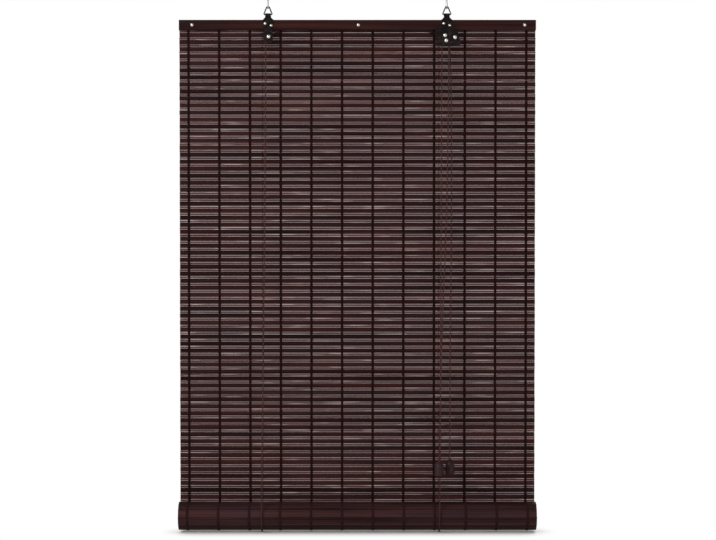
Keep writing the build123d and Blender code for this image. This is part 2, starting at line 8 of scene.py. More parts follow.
import bmesh
import bpy
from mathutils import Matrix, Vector


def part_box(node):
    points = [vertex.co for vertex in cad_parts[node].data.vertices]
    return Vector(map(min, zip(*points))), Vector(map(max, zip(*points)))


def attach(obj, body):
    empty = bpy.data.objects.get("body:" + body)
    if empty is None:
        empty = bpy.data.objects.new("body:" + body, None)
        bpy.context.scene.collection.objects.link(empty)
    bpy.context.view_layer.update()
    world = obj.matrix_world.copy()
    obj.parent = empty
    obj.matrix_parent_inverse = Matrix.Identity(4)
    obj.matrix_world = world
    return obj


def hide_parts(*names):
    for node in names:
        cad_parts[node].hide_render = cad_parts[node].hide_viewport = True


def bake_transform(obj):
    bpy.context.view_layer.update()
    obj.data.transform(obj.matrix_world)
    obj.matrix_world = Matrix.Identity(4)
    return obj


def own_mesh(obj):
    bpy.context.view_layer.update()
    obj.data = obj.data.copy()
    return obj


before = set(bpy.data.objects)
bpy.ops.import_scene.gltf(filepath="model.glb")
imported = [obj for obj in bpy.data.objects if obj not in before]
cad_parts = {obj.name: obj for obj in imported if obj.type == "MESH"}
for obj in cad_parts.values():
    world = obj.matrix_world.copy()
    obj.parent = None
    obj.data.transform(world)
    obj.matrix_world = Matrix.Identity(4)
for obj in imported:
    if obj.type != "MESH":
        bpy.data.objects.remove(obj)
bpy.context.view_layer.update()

bl_info = {
    "name": "Bamboo roll up blind",
    "version": (1, 0, 0),
    "blender": (4, 5, 0),
    "location": "View3D > Sidebar > Blind",
    "description": "Dresses the packed model of a bamboo roll up blind",
    "category": "Object",
}

MM = 0.001

# Mat
BLIND_WIDTH = 600 * MM
SLAT_WIDTH = 8.0 * MM
SLAT_THICKNESS = 1.8 * MM
SLAT_EDGE = 0.55 * MM
SLAT_CROWN = 0.05 * MM
REED_WIDTH = 3.0 * MM
REED_SPREAD = 0.52 * MM
REED_SIDES = 8
WEAVE_GAP = 0.41 * MM
PERIOD = SLAT_WIDTH + REED_WIDTH + 2 * WEAVE_GAP
SLAT_OFFSET = 2 * WEAVE_GAP + REED_WIDTH + SLAT_WIDTH / 2
REED_OFFSET = WEAVE_GAP + REED_WIDTH / 2
ROWS = 69
STILL_ROWS = 7
BAR_STEPS = 22
RIM_SHARE = 0.8

# How far a reed's corners stand out from an oval of its size
REED_CORNER_HIGH = 1.083
REED_CORNER_DEEP = 1.05

# Least and greatest scale of a row along, through and down the mat, and seeds that set rows apart
ROW_SCALE_LEAST = (0.9985, 0.86, 0.99)
ROW_SCALE_MOST = (1.0, 1.0, 1.0)
TONE_SEED = 11.0
REED_SEED = 20

# Warp threads
WARPS = 12
WARP_MARGIN = 15.5 * MM
WARP_PITCH = (BLIND_WIDTH - 2 * WARP_MARGIN) / (WARPS - 1)
WARP_NODES = [f"warp_thread_{n:02d}" for n in range(2, WARPS)]
THREAD_HALF_WIDTH = 2.2 * MM
THREAD_FLATNESS = 0.17
THREAD_SIDES = 6
THREAD_STANDOFF = 0.24 * MM
THREAD_BULGE = 0.08 * MM
THREAD_START = 0.6 * MM
THREAD_LEAD_IN = 8.5 * MM
REED_BEND = 0.5 * MM
SLAT_BEND = 0.9 * MM

# Rail and mat levels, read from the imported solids
RAIL_LOW, RAIL_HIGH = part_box("front_batten")
RAIL_BOTTOM = RAIL_LOW[2]
RAIL_TOP = RAIL_HIGH[2]
TOP_SLAT_CLEARANCE = 2.8 * MM
REED_LOW, REED_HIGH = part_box("reeds")
MAT_Y = (REED_LOW[1] + REED_HIGH[1]) / 2
MAT_BOTTOM = RAIL_BOTTOM - ROWS * PERIOD

# Roll
ROLL_LOW, ROLL_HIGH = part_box("bottom_rod")
ROLL_Y = (ROLL_LOW[1] + ROLL_HIGH[1]) / 2
ROLL_Z = (ROLL_LOW[2] + ROLL_HIGH[2]) / 2
ROLL_RADIUS = 24.85 * MM
TURN_PITCH = 2.3 * MM
ROLLED_ROWS = 62

# Angles in degrees above which an edge stays sharp
FLAT_ANGLE = 40
TURNED_ANGLE = 45
ROUND_ANGLE = 70


# Settings
def colour_property(name, description, value):
    """Colour setting."""
    return bpy.props.FloatVectorProperty(name=name, description=description, subtype="COLOR", default=value)


def number_property(name, description, value, **kind):
    """Number setting; its kind is a unit or a subtype."""
    return bpy.props.FloatProperty(name=name, description=description, default=value, **kind)


class BlindMat(bpy.types.PropertyGroup):
    """Sizes and colours of the woven mat."""

    wander: number_property(
        "Wander", "How far a slat's edges stray from a straight line", 0.10 * MM, unit="LENGTH"
    )
    seed: bpy.props.IntProperty(name="Seed", description="Choice of slats", default=7)
    slat_dark: colour_property("Slat dark", "Darkest stain on the slats", (0.0100, 0.0030, 0.0034))
    slat_light: colour_property("Slat light", "Palest stain on the slats", (0.0420, 0.0150, 0.0150))
    # The hanging reeds' stain is made paler with painted light, for light coming through the mat from
    # behind.
    reed_dark: colour_property("Reed dark", "Darkest stain on the hanging reeds, lightened by painted light", (0.0330, 0.0158, 0.0160))
    reed_light: colour_property("Reed light", "Palest stain on the hanging reeds, lightened by painted light", (0.096, 0.0485, 0.0475))
    # Painted light: the rim and glint colours stand in for light coming through the gaps of the weave.
    reed_rim_light: colour_property(
        "Reed rim", "Thin edges of the hanging reeds, where light comes through", (0.195, 0.104, 0.098)
    )
    reed_glint: colour_property(
        "Reed glint", "Short stretches of those edges where more light comes through", (0.66, 0.52, 0.49)
    )
    cut: colour_property(
        "Cut end", "Sawn ends of slats and reeds, where the stain is thin", (0.085, 0.044, 0.034)
    )
    thread: colour_property("Thread", "Colour of the warp threads", (0.0145, 0.0052, 0.0041))
    # The roll's stain is a paler copy of the mat's: painted light falling on the roll.
    rolled_dark: colour_property("Rolled dark", "Darkest stain on the roll, lightened by painted light", (0.0160, 0.0060, 0.0062))
    rolled_light: colour_property("Rolled light", "Palest stain on the roll, lightened by painted light", (0.0600, 0.0255, 0.0265))
    # Paler than the warp threads of the hanging mat.
    rolled_thread: colour_property(
        "Rolled thread", "Colour of the warp threads on the roll, paler than on the hanging mat", (0.0270, 0.0110, 0.0114)
    )


class BlindHardware(bpy.types.PropertyGroup):
    """Colours of rail, metal, cords and tassels."""

    rail_dark: colour_property("Rail dark", "Darkest stain on the rail", (0.0115, 0.0036, 0.0034))
    rail_light: colour_property("Rail light", "Palest stain on the rail", (0.0400, 0.0148, 0.0130))
    steel: colour_property("Steel", "Black lacquer of the brackets", (0.0062, 0.0036, 0.0034))
    nickel: colour_property("Nickel", "Plate on nails and rivets", (0.78, 0.76, 0.72))
    wire: colour_property("Wire", "Zinc on the hooks", (0.52, 0.52, 0.52))
    ring: colour_property("Ring", "Dull grey of the rings", (0.075, 0.073, 0.072))
    cord: colour_property("Cord", "Colour of the lift and pull cords", (0.066, 0.031, 0.027))
    # Painted shade: this darker copy of the cord colour stands in for the shade under the rail and in the
    # lock.
    shaded_cord: colour_property(
        "Shaded cord", "Cord under the rail and in the lock, painted dark for shade", (0.020, 0.0085, 0.0085)
    )
    tassel_dark: colour_property("Tassel dark", "Darkest stain on the tassels", (0.0110, 0.0050, 0.0050))
    tassel_light: colour_property("Tassel light", "Palest stain on the tassels", (0.0480, 0.0250, 0.0255))
    cord_diameter: number_property("Cord diameter", "Thickness of every cord", 2.0 * MM, unit="LENGTH")


class BlindStage(bpy.types.PropertyGroup):
    """Light and camera."""

    key_power: number_property("Key", "Power of the main lamp", 76.0, unit="POWER")
    fill_power: number_property("Fill", "Power of the second lamp", 12.0, unit="POWER")
    back_power: number_property("Back", "Power of the lamp behind", 48.0, unit="POWER")
    sky: number_property("Sky", "Strength of the light from all round", 0.36)
    distance: number_property("Distance", "From the camera to the origin's plane", 3.1, unit="LENGTH")
    pitch: number_property("Pitch", "How far the camera looks down", math.radians(1.41), subtype="ANGLE")


# Objects and meshes
def link_object(name, data):
    """New object in the scene."""
    obj = bpy.data.objects.new(name, data)
    bpy.context.scene.collection.objects.link(obj)
    return obj


def mesh_from(shell, name):
    """Mesh made from a bmesh, which is then freed."""
    mesh = bpy.data.meshes.new(name)
    shell.to_mesh(mesh)
    shell.free()
    return mesh


def evaluated_mesh(obj):
    """New mesh of an object as its modifiers or its bevel leave it."""
    bpy.context.view_layer.update()
    return bpy.data.meshes.new_from_object(obj.evaluated_get(bpy.context.evaluated_depsgraph_get()))


def grown(obj, *stages):
    """Runs geometry trees on an object and leaves it a plain mesh.

    A stage is a tree and the values of its inputs.
    """
    for tree, values in stages:
        modifier = obj.modifiers.new(tree.name, "NODES")
        modifier.node_group = tree
        for item in tree.interface.items_tree:
            if item.item_type == "SOCKET" and item.in_out == "INPUT" and item.name in values:
                modifier[item.identifier] = values[item.name]
    result = evaluated_mesh(obj)
    obj.modifiers.clear()
    obj.data = result
    return obj


def smooth(obj, degrees=FLAT_ANGLE):
    """Smooth shading with sharp edges above an angle."""
    obj.data.shade_smooth()
    shell = bmesh.new()
    shell.from_mesh(obj.data)
    for edge in shell.edges:
        if len(edge.link_faces) == 2:
            edge.smooth = edge.calc_face_angle(0) < math.radians(degrees)
    shell.to_mesh(obj.data)
    shell.free()
    return obj


# Node trees
def new_group(name, kind, inputs, outputs):
    """Node group with sockets of the named kinds; returns its tree, what it is given and what it makes."""
    tree = bpy.data.node_groups.new(name, kind)
    for way, sockets in (("INPUT", inputs), ("OUTPUT", outputs)):
        for label, socket in sockets.items():
            tree.interface.new_socket(name=label, in_out=way, socket_type=f"NodeSocket{socket}")
    return tree, tree.nodes.new("NodeGroupInput").outputs, tree.nodes.new("NodeGroupOutput").inputs


def built_once(name, builder):
    """Node group of that name, built on its first use."""
    return bpy.data.node_groups.get(name) or builder(name)


def feed(tree, socket, value):
    """Link a socket to another, or set its value."""
    if isinstance(value, bpy.types.NodeSocket):
        tree.links.new(value, socket)
    else:
        socket.default_value = value


def feed_all(tree, node, inputs):
    """Links or sets a node's named inputs."""
    for label, value in inputs.items():
        feed(tree, node.inputs[label], value)


def add_node(tree, kind, inputs, **settings):
    """New node with settings of its own, its inputs linked or set."""
    node = tree.nodes.new(kind)
    for label, value in settings.items():
        setattr(node, label, value)
    feed_all(tree, node, inputs)
    return node


def add_step(tree, kind, inputs, **settings):
    """New node of which only the first output is used; returns that output."""
    return add_node(tree, kind, inputs, **settings).outputs[0]


def maths(tree, operation, *values):
    """Math node; returns its result."""
    return add_step(tree, "ShaderNodeMath", dict(enumerate(values)), operation=operation)


def join_xyz(tree, x, y, z):
    """Vector from three numbers or sockets."""
    return add_step(tree, "ShaderNodeCombineXYZ", {0: x, 1: y, 2: z})


def split_xyz(tree, vector):
    """The three numbers of a vector."""
    return add_node(tree, "ShaderNodeSeparateXYZ", {0: vector}).outputs


def noise(tree, vector, scale, detail, roughness):
    """Noise texture; returns its value."""
    values = {"Vector": vector, "Scale": scale, "Detail": detail, "Roughness": roughness}
    return add_step(tree, "ShaderNodeTexNoise", values)


def remap(tree, value, low, high, new_low=0.0, new_high=1.0):
    """Map range with clamped ends."""
    return add_step(tree, "ShaderNodeMapRange", {0: value, 1: low, 2: high, 3: new_low, 4: new_high})


def mixed(tree, factor, first, second, blend="MIX"):
    """Colour mix; returns the colour."""
    values = {0: factor, 6: first, 7: second}
    return add_node(tree, "ShaderNodeMix", values, data_type="RGBA", blend_type=blend).outputs[2]


# Geometry trees
def geometry_tree(name, inputs):
    """Geometry tree from a geometry, the named inputs and a material to one geometry."""
    sockets = {"Geometry": "Geometry", **inputs, "Material": "Material"}
    return new_group(name, "GeometryNodeTree", sockets, {"Geometry": "Geometry"})


def closing(tree, geometry, given, made):
    """Last nodes of every tree: instances made real, then the material."""
    real = add_step(tree, "GeometryNodeRealizeInstances", {"Geometry": geometry})
    dressed = add_step(tree, "GeometryNodeSetMaterial", {"Geometry": real, "Material": given["Material"]})
    feed(tree, made["Geometry"], dressed)
    return tree


def row_of_points(tree, count, start, offset):
    """Points in a straight row."""
    values = {"Count": count, "Start Location": start, "Offset": offset}
    return add_step(tree, "GeometryNodeMeshLine", values, mode="OFFSET")


def place_of_points(tree):
    """The three coordinates of each point of a geometry."""
    return split_xyz(tree, add_step(tree, "GeometryNodeInputPosition", {}))


def wave(tree, x, y, z, detail):
    """Smooth wander about nought, at most a half either way."""
    return maths(tree, "SUBTRACT", noise(tree, join_xyz(tree, x, y, z), 1.0, detail, 0.5), 0.5)


def rows_tree(name):
    """Copies one slat or reed down the mat, each a little different, and lets its edges wander."""
    inputs = {"Rows": "Int", "Period": "Float", "First": "Vector", "Wander": "Float", "Seed": "Int"}
    tree, given, made = geometry_tree(name, inputs)
    down = join_xyz(tree, 0.0, 0.0, maths(tree, "MULTIPLY", given["Period"], -1.0))
    points = row_of_points(tree, given["Rows"], given["First"], down)
    limits = {0: ROW_SCALE_LEAST, 1: ROW_SCALE_MOST, "Seed": given["Seed"]}
    size = add_step(tree, "FunctionNodeRandomValue", limits, data_type="FLOAT_VECTOR")
    copies = {"Points": points, "Instance": given["Geometry"], "Scale": size}
    placed = add_step(tree, "GeometryNodeInstanceOnPoints", copies)
    tone_seed = maths(tree, "ADD", given["Seed"], TONE_SEED)
    tone = add_node(tree, "FunctionNodeRandomValue", {"Seed": tone_seed}, data_type="FLOAT").outputs[1]
    mark = {"Geometry": placed, "Name": "row_tone", "Value": tone}
    marked = add_step(tree, "GeometryNodeStoreNamedAttribute", mark, data_type="FLOAT", domain="INSTANCE")
    real = add_step(tree, "GeometryNodeRealizeInstances", {"Geometry": marked})

    x, _, z = place_of_points(tree)
    edge_x = maths(tree, "MULTIPLY", x, 5.0)
    edge_y = maths(tree, "MULTIPLY", given["Seed"], 3.7)
    edge_z = maths(tree, "MULTIPLY", z, 330.0)
    bow_x = maths(tree, "MULTIPLY", x, 9.0)
    bow_y = maths(tree, "MULTIPLY", z, 85.0)
    edge_wave = wave(tree, edge_x, edge_y, edge_z, detail=1.0)
    bow_wave = wave(tree, bow_x, bow_y, 5.0, detail=2.0)
    rise = maths(tree, "MULTIPLY", edge_wave, maths(tree, "MULTIPLY", given["Wander"], 2.0))
    depth = maths(tree, "MULTIPLY", bow_wave, given["Wander"])
    shift = {"Geometry": real, "Offset": join_xyz(tree, 0.0, depth, rise)}
    return closing(tree, add_step(tree, "GeometryNodeSetPosition", shift), given, made)


def wound_tree(name):
    """Winds a flat hanging mat into a spiral: height below the start becomes length along the spiral."""
    inputs = dict.fromkeys(
        ("Start height", "Mat depth", "Outer radius", "Turn pitch", "Centre depth", "Centre height"), "Float"
    )
    tree, given, made = geometry_tree(name, inputs)
    x, y, z = place_of_points(tree)
    along = maths(tree, "SUBTRACT", given["Start height"], z)
    lift = maths(tree, "SUBTRACT", y, given["Mat depth"])
    used = maths(tree, "DIVIDE", maths(tree, "MULTIPLY", given["Turn pitch"], along), math.pi)
    squared = maths(tree, "SUBTRACT", maths(tree, "POWER", given["Outer radius"], 2.0), used)
    radius = maths(tree, "SQRT", squared)
    turn = maths(tree, "SUBTRACT", given["Outer radius"], radius)
    angle = maths(tree, "DIVIDE", maths(tree, "MULTIPLY", turn, math.tau), given["Turn pitch"])
    reach = maths(tree, "ADD", radius, lift)
    back = maths(tree, "MULTIPLY", reach, maths(tree, "COSINE", angle))
    down = maths(tree, "MULTIPLY", reach, maths(tree, "SINE", angle))
    wound_y = maths(tree, "ADD", given["Centre depth"], back)
    wound_z = maths(tree, "SUBTRACT", given["Centre height"], down)
    shift = {"Geometry": given["Geometry"], "Position": join_xyz(tree, x, wound_y, wound_z)}
    return closing(tree, add_step(tree, "GeometryNodeSetPosition", shift), given, made)


def thread_tree(name):
    """Flat thread along each edge path, repeated across the blind."""
    inputs = {"Count": "Int", "Pitch": "Float", "First": "Float", "Half width": "Float", "Flatness": "Float"}
    tree, given, made = geometry_tree(name, inputs)
    path = add_step(tree, "GeometryNodeMeshToCurve", {"Mesh": given["Geometry"]})
    sideways = {"Curve": path, "Normal": (1.0, 0.0, 0.0)}
    upright = add_step(tree, "GeometryNodeSetCurveNormal", sideways, mode="FREE")
    circle = {"Resolution": THREAD_SIDES, "Radius": given["Half width"]}
    ring = add_step(tree, "GeometryNodeCurvePrimitiveCircle", circle)
    flatter = {"Geometry": ring, "Scale": join_xyz(tree, 1.0, given["Flatness"], 1.0)}
    flat = add_step(tree, "GeometryNodeTransform", flatter)
    sweep = {"Curve": upright, "Profile Curve": flat, "Fill Caps": True}
    tube = add_step(tree, "GeometryNodeCurveToMesh", sweep)
    first = join_xyz(tree, given["First"], 0.0, 0.0)
    across = join_xyz(tree, given["Pitch"], 0.0, 0.0)
    points = row_of_points(tree, given["Count"], first, across)
    placed = add_step(tree, "GeometryNodeInstanceOnPoints", {"Points": points, "Instance": tube})
    return closing(tree, placed, given, made)


# Shader groups
WARM_TINT = (1.18, 0.94, 0.86, 1)
COOL_TINT = (0.84, 1.0, 1.12, 1)
MIDDLE_TONE = 0.5
SURFACE = {"Color": "Color", "Roughness": "Float", "Height": "Float"}


def stained_grain(name):
    """Stain on bamboo or wood: long streaks, fine fibres and a slow drift of hue."""
    inputs = {
        "Vector": "Vector",
        "Patches": "Vector",
        "Dark": "Color",
        "Light": "Color",
        "Tone": "Float",
        "Gloss": "Float",
        "Hue drift": "Float",
    }
    tree, given, made = new_group(name, "ShaderNodeTree", inputs, SURFACE)
    streak = noise(tree, given["Vector"], 1.0, 4.0, 0.6)
    fibre = noise(tree, given["Vector"], 4.3, 3.0, 0.6)
    drift = noise(tree, given["Patches"], 1.0, 2.0, 0.5)
    cloud = noise(tree, given["Patches"], 0.63, 2.0, 0.5)
    share = remap(tree, streak, 0.32, 0.7, 0.0, 0.75)
    fine = remap(tree, fibre, 0.3, 0.72, -0.12, 0.25)
    tone = maths(tree, "MULTIPLY", maths(tree, "SUBTRACT", given["Tone"], MIDDLE_TONE), 0.55)
    patch = remap(tree, cloud, 0.32, 0.68, -0.24, 0.24)
    for part in (fine, tone, patch):
        share = maths(tree, "ADD", share, part)
    clamped = add_step(tree, "ShaderNodeClamp", {0: share})
    base = mixed(tree, clamped, given["Dark"], given["Light"])
    hue = mixed(tree, remap(tree, drift, 0.35, 0.65), WARM_TINT, COOL_TINT)
    feed(tree, made["Color"], mixed(tree, given["Hue drift"], base, hue, "MULTIPLY"))
    dull = remap(tree, fibre, 0.3, 0.7, -0.08, 0.14)
    feed(tree, made["Roughness"], maths(tree, "ADD", given["Gloss"], dull))
    fibre_height = maths(tree, "MULTIPLY", fibre, 0.6)
    streak_height = maths(tree, "MULTIPLY", streak, 0.4)
    feed(tree, made["Height"], maths(tree, "ADD", fibre_height, streak_height))
    return tree


def worn_coat(name):
    """Lacquer or plate with faint mottling and small scuffs."""
    inputs = {"Vector": "Vector", "Coat": "Color", "Scuff": "Color", "Scuffing": "Float", "Gloss": "Float"}
    tree, given, made = new_group(name, "ShaderNodeTree", inputs, SURFACE)
    broad = noise(tree, given["Vector"], 220.0, 3.0, 0.6)
    small = noise(tree, given["Vector"], 900.0, 2.0, 0.6)
    patches = remap(tree, broad, 0.48, 0.68)
    specks = remap(tree, small, 0.4, 0.65, 0.2, 1.0)
    share = maths(tree, "MULTIPLY", maths(tree, "MULTIPLY", patches, specks), given["Scuffing"])
    feed(tree, made["Color"], mixed(tree, share, given["Coat"], given["Scuff"]))
    dull = remap(tree, broad, 0.3, 0.7, -0.06, 0.16)
    feed(tree, made["Roughness"], maths(tree, "ADD", given["Gloss"], dull))
    feed(tree, made["Height"], small)
    return tree


def twisted_strands(name):
    """Slanting strands of a cord or thread; one strand passes for each unit of its lay."""
    inputs = {"Lay": "Vector", "Vector": "Vector", "Color": "Color"}
    tree, given, made = new_group(name, "ShaderNodeTree", inputs, {"Color": "Color", "Height": "Float"})
    x, y, z = split_xyz(tree, given["Lay"])
    turn = maths(tree, "ADD", z, maths(tree, "ADD", x, y))
    swing = maths(tree, "SINE", maths(tree, "MULTIPLY", turn, math.tau))
    ridge = maths(tree, "ADD", maths(tree, "MULTIPLY", swing, 0.5), 0.5)
    fuzz = noise(tree, given["Vector"], 1500.0, 2.0, 0.6)
    # Painted shade in the grooves between strands and a painted highlight on their crests.
    groove_shade = remap(tree, ridge, 0.0, 1.0, 0.58, 1.18)
    shade = maths(tree, "ADD", groove_shade, remap(tree, fuzz, 0.3, 0.7, -0.1, 0.1))
    grey = add_step(tree, "ShaderNodeCombineColor", {0: shade, 1: shade, 2: shade})
    feed(tree, made["Color"], mixed(tree, 1.0, given["Color"], grey, "MULTIPLY"))
    feed(tree, made["Height"], maths(tree, "ADD", ridge, maths(tree, "MULTIPLY", fuzz, 0.4)))
    return tree


# Materials
UNSCALED = (1, 1, 1)
GRAIN_DEPTH = 0.15 * MM
COAT_DEPTH = 0.05 * MM
STRAND_DEPTH = 0.2 * MM
GLINT_PLACE = (16, 1, 260)
CORD_LAY = (420, 420, 760)
THREAD_LAY = (250, 0, 330)


def placed_group(tree, name, builder, values):
    """A shader group placed in a material, with its own values; returns its outputs."""
    return add_node(tree, "ShaderNodeGroup", values, node_tree=built_once(name, builder)).outputs


def new_material(name):
    """Material with a Principled shader; returns it with its tree and shader."""
    material = bpy.data.materials.new(name)
    material.use_nodes = True
    return material, material.node_tree, material.node_tree.nodes["Principled BSDF"]


def object_place(tree, scale):
    """Object coordinates, stretched by a Mapping node."""
    source = tree.nodes.new("ShaderNodeTexCoord").outputs["Object"]
    return add_step(tree, "ShaderNodeMapping", {"Vector": source, "Scale": scale})


def bumped(tree, height, strength, distance):
    """Bump node; returns its normal."""
    return add_step(tree, "ShaderNodeBump", {"Strength": strength, "Distance": distance, "Height": height})


def rgba(colour):
    """Colour property as four numbers."""
    return (*colour, 1.0)


def attribute_value(tree, name):
    """Number that a mesh carries under a name."""
    return add_node(tree, "ShaderNodeAttribute", {}, attribute_name=name).outputs["Fac"]


def glinting(tree, colour, glint):
    """Rim colour with short brighter stretches: painted glints of the light that comes through the weave."""
    wander = noise(tree, object_place(tree, GLINT_PLACE), 1.0, 1.0, 0.5)
    return mixed(tree, remap(tree, wander, 0.57, 0.66), rgba(colour), rgba(glint))


def grain_material(
    name,
    dark,
    light,
    scale,
    patches,
    gloss,
    toned=False,
    bump=0.35,
    specular=0.05,
    drift=1.0,
    rim=None,
    glint=None,
    cut=None,
):
    """Stained bamboo or wood, grain along the axis with the small scale; rims may carry painted light and
    glints, cut ends may differ.
    """
    material, tree, shader = new_material(name)
    values = {
        "Vector": object_place(tree, scale),
        "Patches": object_place(tree, patches),
        "Dark": rgba(dark),
        "Light": rgba(light),
        "Tone": attribute_value(tree, "row_tone") if toned else MIDDLE_TONE,
        "Gloss": gloss,
        "Hue drift": drift,
    }
    group = placed_group(tree, "Stained grain", stained_grain, values)
    colour = group["Color"]
    # Painted light: a brighter rim colour, with painted glints, where light comes through between slat and
    # reed.
    if rim:
        colour = mixed(tree, attribute_value(tree, "rim"), colour, glinting(tree, rim, glint))
    if cut:
        colour = mixed(tree, attribute_value(tree, "cut"), colour, rgba(cut))
    surface = {
        "Base Color": colour,
        "Roughness": group["Roughness"],
        "Specular IOR Level": specular,
        "Normal": bumped(tree, group["Height"], bump, GRAIN_DEPTH),
    }
    feed_all(tree, shader, surface)
    return material


def coat_material(name, coat, scuff, scuffing, gloss, metallic):
    """Lacquered or plated metal, or moulded plastic."""
    material, tree, shader = new_material(name)
    values = {
        "Vector": object_place(tree, UNSCALED),
        "Coat": rgba(coat),
        "Scuff": rgba(scuff),
        "Scuffing": scuffing,
        "Gloss": gloss,
    }
    group = placed_group(tree, "Worn coat", worn_coat, values)
    surface = {
        "Base Color": group["Color"],
        "Roughness": group["Roughness"],
        "Metallic": metallic,
        "Specular IOR Level": 0.10,
        "Normal": bumped(tree, group["Height"], 0.12, COAT_DEPTH),
    }
    feed_all(tree, shader, surface)
    return material


def strand_material(name, colour, lay):
    """Twisted cord or thread, made once; its lay is the number of strands in a metre along each axis."""
    found = bpy.data.materials.get(name)
    if found:
        return found
    material, tree, shader = new_material(name)
    place = object_place(tree, UNSCALED)
    values = {"Lay": object_place(tree, lay), "Vector": place, "Color": rgba(colour)}
    group = placed_group(tree, "Twisted strands", twisted_strands, values)
    surface = {
        "Base Color": group["Color"],
        "Roughness": 0.85,
        "Specular IOR Level": 0.03,
        "Normal": bumped(tree, group["Height"], 0.6, STRAND_DEPTH),
    }
    feed_all(tree, shader, surface)
    return material


# Bamboo of the mat: scale of its grain and of its patches, gloss, bump and drift of hue
BAMBOO = {
    "slat": ((3, 420, 420), (8, 40, 90), 0.42, 0.25, 1.0),
    "reed": ((3, 500, 500), (6, 40, 90), 0.5, 0.15, 0.35),
    "rolled": ((3, 450, 450), (7, 60, 60), 0.45, 0.2, 0.6),
}


def bamboo_material(name, kind, rim=None, glint=None):
    """Bamboo of the hanging slats, the hanging reeds or the roll, with the stain of its kind; the hanging
    reeds and the roll are made paler with painted light.
    """
    mat = bpy.context.scene.blind_mat
    scale, patches, gloss, bump, drift = BAMBOO[kind]
    return grain_material(
        name,
        getattr(mat, f"{kind}_dark"),
        getattr(mat, f"{kind}_light"),
        scale,
        patches,
        gloss,
        toned=True,
        bump=bump,
        drift=drift,
        rim=rim,
        glint=glint,
        cut=mat.cut,
    )


def dress(material, *nodes):
    """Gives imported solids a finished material."""
    for name in nodes:
        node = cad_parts[name]
        if not node.material_slots:
            node.data.materials.append(material)
        for slot in node.material_slots:
            slot.material = material


# Mat pieces
def bar_mesh(name, section):
    """Closed bar across the blind, in steps, from a cross section of depth and height points."""
    shell = bmesh.new()
    rim = shell.verts.layers.float.new("rim")
    cut = shell.faces.layers.float.new("cut")
    half = max(z for _, z in section)
    rings = []
    for step in range(BAR_STEPS + 1):
        x = BLIND_WIDTH * (step / BAR_STEPS - 0.5)
        rings.append([shell.verts.new((x, y, z)) for y, z in section])
    for before, after in zip(rings, rings[1:]):
        for corner in range(len(section)):
            turn = (corner + 1) % len(section)
            shell.faces.new((before[corner], before[turn], after[turn], after[corner]))
    for ring in (rings[0], rings[-1]):
        shell.faces.new(ring)[cut] = 1.0
    # Marks the thin top and bottom edges, where the reed material paints light coming through the weave.
    for vertex in shell.verts:
        vertex[rim] = 1.0 if abs(vertex.co.z) > RIM_SHARE * half else 0.0
    bmesh.ops.recalc_face_normals(shell, faces=shell.faces)
    return mesh_from(shell, name)


def slat_section(width, crown):
    """Split bamboo in section: flat behind, rounded edges, a faint crown in front."""
    half = width / 2
    deep = SLAT_THICKNESS / 2
    edge = SLAT_EDGE
    return [
        (deep, -half + edge * 0.4),
        (deep, half - edge * 0.4),
        (deep * 0.35, half),
        (-deep * 0.25, half),
        (-deep + edge * 0.35, half - edge * 0.55),
        (-deep, half - edge * 1.6),
        (-deep - crown, 0.0),
        (-deep, -half + edge * 1.6),
        (-deep + edge * 0.35, -half + edge * 0.55),
        (-deep * 0.25, -half),
        (deep * 0.35, -half),
    ]


def reed_section():
    """Round reed, a little flattened."""
    half = (REED_WIDTH + REED_SPREAD) / 2 * REED_CORNER_HIGH
    deep = SLAT_THICKNESS / 2 * REED_CORNER_DEEP
    turns = [math.tau * (step + 0.5) / REED_SIDES for step in range(REED_SIDES)]
    return [(deep * math.cos(turn), half * math.sin(turn)) for turn in turns]


def slat_mesh():
    """One slat, as long as the blind is wide."""
    return bar_mesh("slat", slat_section(SLAT_WIDTH, SLAT_CROWN))


def reed_mesh():
    """One reed, as long as the blind is wide."""
    return bar_mesh("reed", reed_section())


def thread_path(name, first_row, rows, lead_in):
    """Two strands that swap from front to back at every gap, as paths of edges at x = 0."""
    out = SLAT_THICKNESS / 2 + THREAD_STANDOFF
    strands = bmesh.new()
    for side in (-1, 1):
        heights = []
        if lead_in:
            heights += [(RAIL_BOTTOM + lead_in, out * side), (RAIL_BOTTOM + THREAD_START, out * side)]
        for row in range(first_row, first_row + rows):
            reed_top = RAIL_BOTTOM - row * PERIOD - WEAVE_GAP
            slat_top = reed_top - REED_WIDTH - WEAVE_GAP
            heights.append((reed_top - REED_BEND, -out * side))
            heights.append((reed_top - REED_WIDTH + REED_BEND, -out * side))
            heights.append((slat_top + WEAVE_GAP / 2, 0.0))
            heights.append((slat_top - SLAT_BEND, out * side))
            heights.append((slat_top - SLAT_WIDTH / 2, (out + THREAD_BULGE * side) * side))
            heights.append((slat_top - SLAT_WIDTH + SLAT_BEND, out * side))
            heights.append((slat_top - SLAT_WIDTH - WEAVE_GAP / 2, 0.0))
        points = [strands.verts.new((0.0, MAT_Y + y, z)) for z, y in heights]
        for before, after in zip(points, points[1:]):
            strands.edges.new((before, after))
    return mesh_from(strands, name)


# Mesh of each kind of bar, how far its middle is below the top of its row, and its seed
BARS = {"slat": (slat_mesh, SLAT_OFFSET, 0), "reed": (reed_mesh, REED_OFFSET, REED_SEED)}


def woven(name, kind, first_row, rows, material, seed, *stages):
    """Piece with the slats or reeds of a stretch of the mat, put through any further stages."""
    mat = bpy.context.scene.blind_mat
    mesh, offset, own_seed = BARS[kind]
    values = {
        "Rows": rows,
        "Period": PERIOD,
        "First": (0.0, MAT_Y, RAIL_BOTTOM - offset - first_row * PERIOD),
        "Wander": mat.wander,
        "Seed": mat.seed + seed + own_seed,
        "Material": material,
    }
    return grown(link_object(name, mesh()), (built_once("Woven rows", rows_tree), values), *stages)


